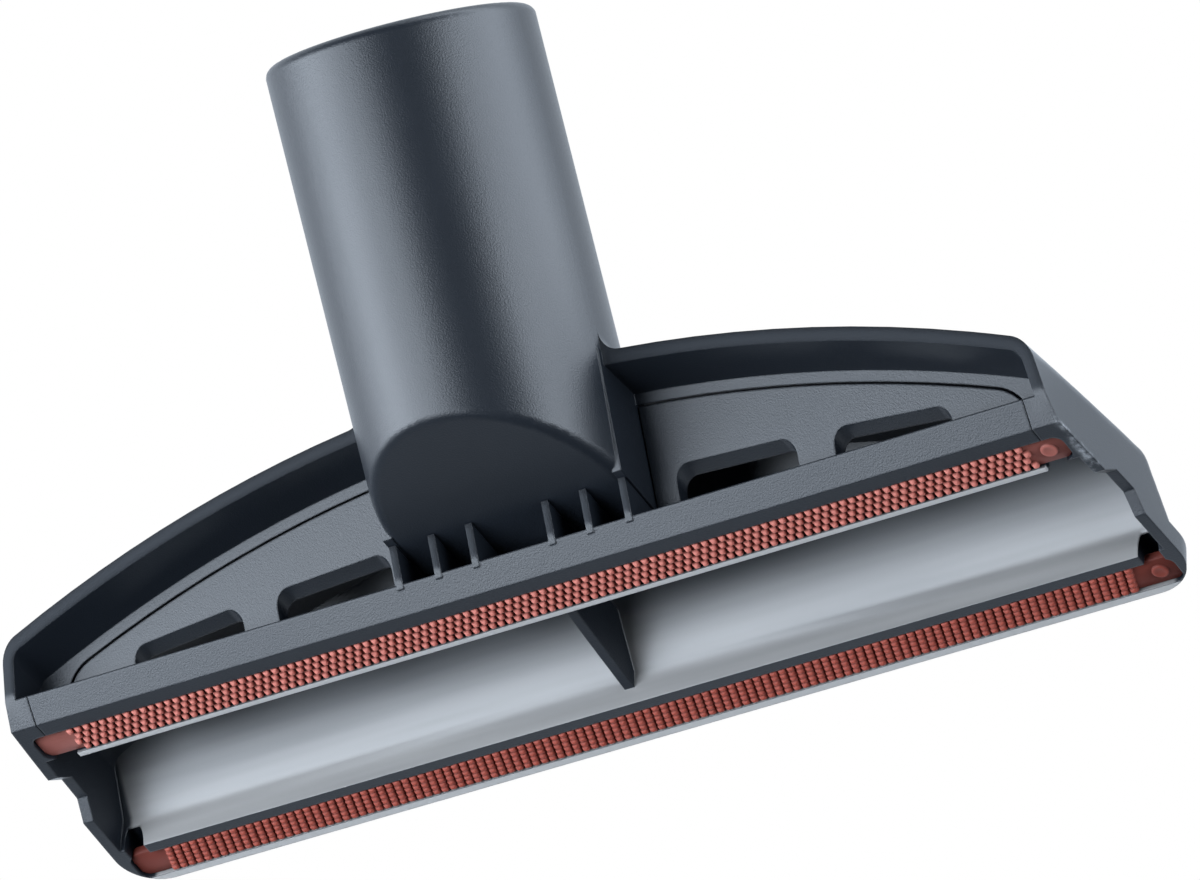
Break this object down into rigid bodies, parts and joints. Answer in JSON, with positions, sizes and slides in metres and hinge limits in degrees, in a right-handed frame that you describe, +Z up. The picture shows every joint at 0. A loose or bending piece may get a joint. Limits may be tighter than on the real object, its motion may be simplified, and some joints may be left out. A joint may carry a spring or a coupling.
{
  "type": "vacuum furniture nozzle",
  "caption": "Wide furniture nozzle for a vacuum cleaner: arched hood with a round connection tube, slotted deck, narrow suction mouth and toothed lint strips along its lips.",
  "frame": {"origin": "middle of the nozzle's outline in plan, on the surface it rests on", "axes": "+X across the nozzle along the mouth, +Y towards the open end of the tube, +Z up; the nozzle lies on its back with the sole and the deck facing up"},
  "size_m": [0.1796, 0.1086, 0.0442],
  "materials": {
    "housing": "fine matt grain",
    "rear_insert": "fine matt grain",
    "rear_lint_strip": "soft matt",
    "front_lint_strip": "soft matt"
  },
  "bodies": {
    "root": {"housing": "housing", "rear_insert": "rear_insert", "rear_lint_strip": "rear_lint_strip", "front_lint_strip": "front_lint_strip"}
  },
  "joints": []
}
